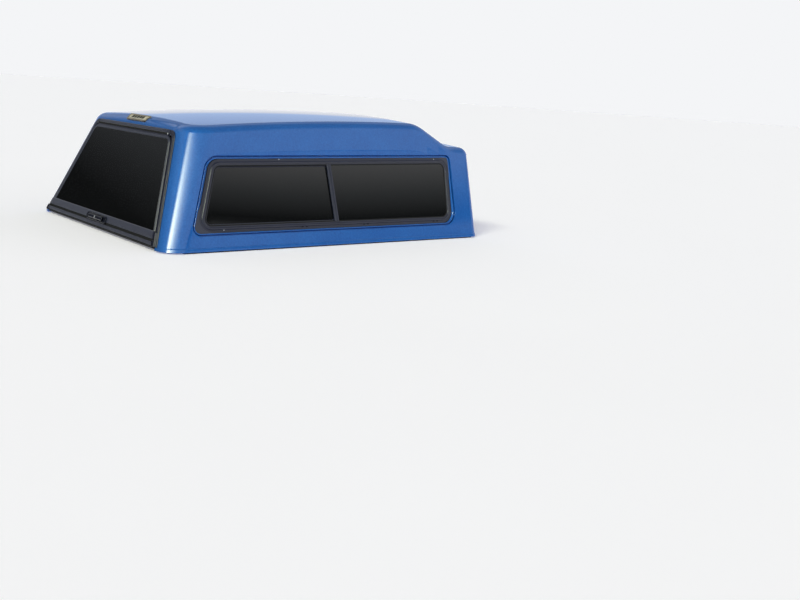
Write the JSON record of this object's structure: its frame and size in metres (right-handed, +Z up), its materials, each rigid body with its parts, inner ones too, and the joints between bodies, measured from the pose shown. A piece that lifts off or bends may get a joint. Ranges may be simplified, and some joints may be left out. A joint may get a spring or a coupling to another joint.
{
  "type": "raised roof pickup canopy",
  "caption": "Moulded raised-roof pickup bed canopy with sliding side windows, a front window and a top-hinged glass rear door on gas struts.",
  "frame": {"origin": "centre of the bounding box at the underside of the base seals", "axes": "+X to the right of the vehicle, +Y forward to the cab, +Z up"},
  "size_m": [1.569, 2.012, 0.6401],
  "materials": {
    "paint": "metallic blue gelcoat under clear coat",
    "black_aluminium": "black powder coat",
    "black_plastic": "satin",
    "privacy_glass": "dark tinted, polished",
    "foam_rubber": "matt closed-cell foam",
    "zinc_steel": "zinc plated",
    "strut_black": "black paint",
    "cap_metal": "bright anodised",
    "lamp_silver": "silver paint",
    "lamp_lens": "dark red acrylic"
  },
  "bodies": {
    "canopy": {"shell": "paint", "door_jamb": "black_aluminium", "hinge_rail": "black_aluminium", "window_frame_right": "black_aluminium", "window_frame_left": "black_aluminium", "mullion_right": "black_aluminium", "mullion_left": "black_aluminium", "sliding_sash_right": "black_aluminium", "sliding_sash_left": "black_aluminium", "clamp_ring_right": "black_aluminium", "clamp_ring_left": "black_aluminium", "front_window_frame": "black_aluminium", "fixed_pane_right": "privacy_glass", "fixed_pane_left": "privacy_glass", "sliding_pane_right": "privacy_glass", "sliding_pane_left": "privacy_glass", "front_window_glass": "privacy_glass", "base_seal_right": "foam_rubber", "base_seal_left": "foam_rubber", "base_seal_front": "foam_rubber", "striker_right": "zinc_steel", "striker_left": "zinc_steel", "strut_bracket_right": "zinc_steel", "strut_bracket_left": "zinc_steel", "brake_lamp_housing": "lamp_silver", "brake_lamp_lens": "lamp_lens"},
    "door": {"door_frame": "black_aluminium", "door_glass": "privacy_glass", "door_bottom_rail": "black_aluminium", "door_bottom_seal": "foam_rubber", "rail_end_cap_right": "cap_metal", "rail_end_cap_left": "cap_metal", "handle_plate": "black_plastic", "latch_right": "zinc_steel", "latch_left": "zinc_steel", "door_bracket_right": "zinc_steel", "door_bracket_left": "zinc_steel"},
    "handle": {"t_handle": "black_plastic", "lock_barrel": "zinc_steel"},
    "strut_tube_right": {"strut_tube_right": "strut_black"},
    "strut_tube_left": {"strut_tube_left": "strut_black"},
    "strut_rod_right": {"strut_rod_right": "zinc_steel"},
    "strut_rod_left": {"strut_rod_left": "zinc_steel"}
  },
  "joints": [
    {"name": "door_lift", "type": "hinge", "parent": "canopy", "child": "door", "pos_m": [0, -0.80469, 0.52433], "axis": [-1, 0, 0], "range_deg": [0, 75]},
    {"name": "handle_turn", "type": "hinge", "parent": "door", "child": "handle", "pos_m": [0, -0.99008, 0.06525], "axis": [0, 0.9345, -0.356], "range_deg": [0, 30]},
    {"name": "strut_swing_right", "type": "hinge", "parent": "canopy", "child": "strut_tube_right", "pos_m": [0.54, -0.82873, 0.18035], "axis": [0.8997, 0.2462, 0.3603], "range_deg": [0, 23.6]},
    {"name": "strut_slide_right", "type": "slide", "parent": "strut_tube_right", "child": "strut_rod_right", "axis": [-0.3981, 0.1246, 0.9089], "range_m": [0, 0.08812]},
    {"name": "strut_swing_left", "type": "hinge", "parent": "canopy", "child": "strut_tube_left", "pos_m": [-0.54, -0.82873, 0.18035], "axis": [0.8997, -0.2462, -0.3603], "range_deg": [0, 23.6]},
    {"name": "strut_slide_left", "type": "slide", "parent": "strut_tube_left", "child": "strut_rod_left", "axis": [0.3981, 0.1246, 0.9089], "range_m": [0, 0.08812]}
  ],
  "couplings": [
    {"joint": "strut_swing_right", "follows": "door_lift", "ratio": 0.3145},
    {"joint": "strut_slide_right", "follows": "door_lift", "m_per_rad": 0.067243},
    {"joint": "strut_swing_left", "follows": "door_lift", "ratio": 0.3145},
    {"joint": "strut_slide_left", "follows": "door_lift", "m_per_rad": 0.067243}
  ]
}
